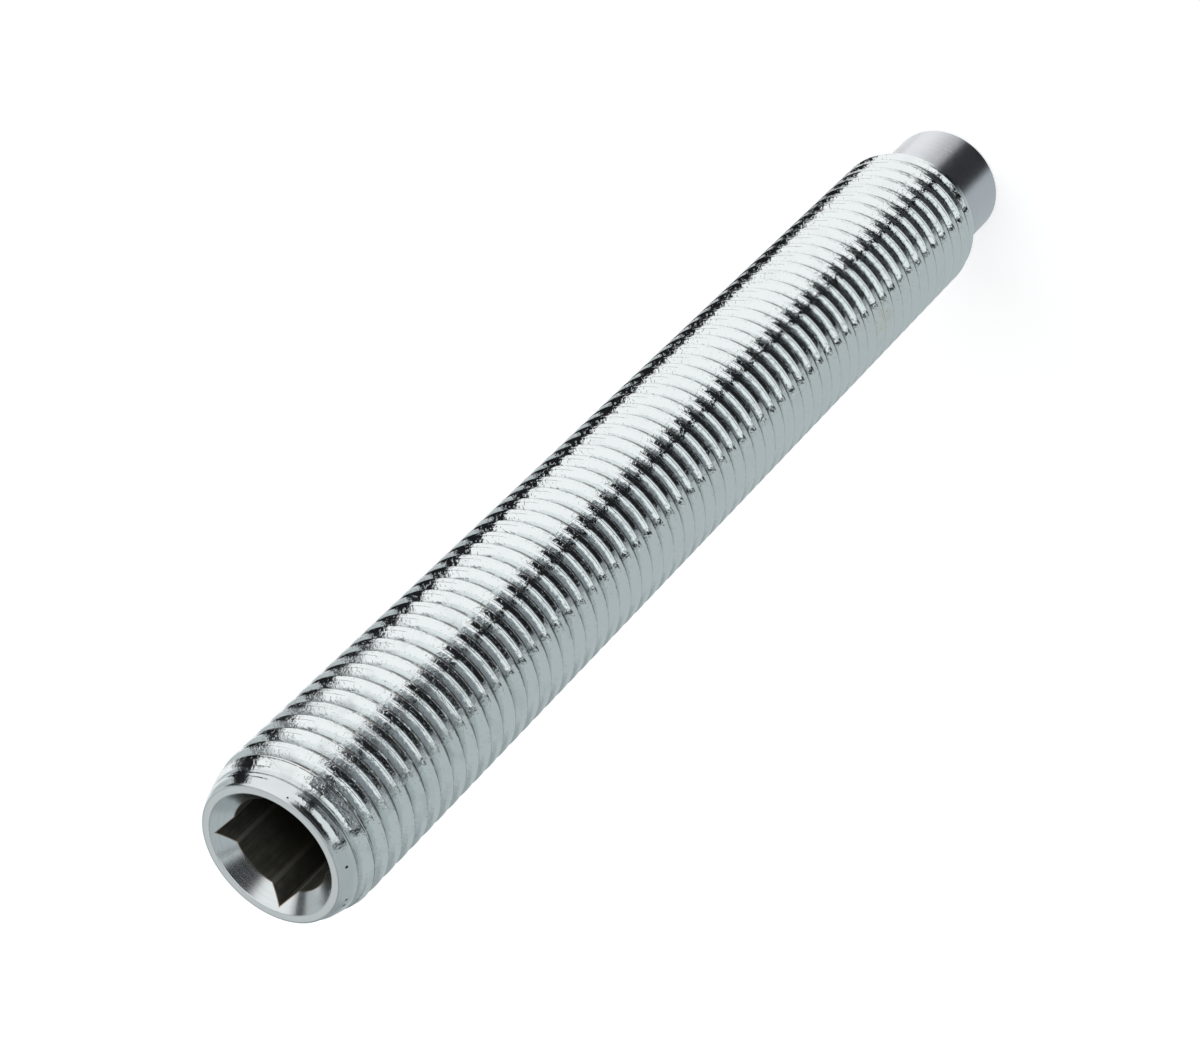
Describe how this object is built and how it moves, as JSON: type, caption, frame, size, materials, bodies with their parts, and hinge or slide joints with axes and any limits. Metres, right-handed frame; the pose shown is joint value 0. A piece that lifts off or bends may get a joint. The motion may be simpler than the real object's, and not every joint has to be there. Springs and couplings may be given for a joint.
{
  "type": "jack bolt",
  "caption": "Fully threaded steel jack bolt with a square key socket sunk in its upper end and a plain turned dog point at its lower end.",
  "frame": {"origin": "centre of the dog point's flat end face, on the bolt's axis, where the bolt stands", "axes": "+Z along the bolt's axis from the dog point up to the socket; +X and +Y are square to the socket's flats"},
  "size_m": [0.02, 0.02, 0.16],
  "materials": {
    "plated_steel": "bright zinc plate on the thread, bare turned steel on the dog point and in the countersink"
  },
  "bodies": {
    "root": {"jack_bolt": "plated_steel"}
  },
  "joints": []
}
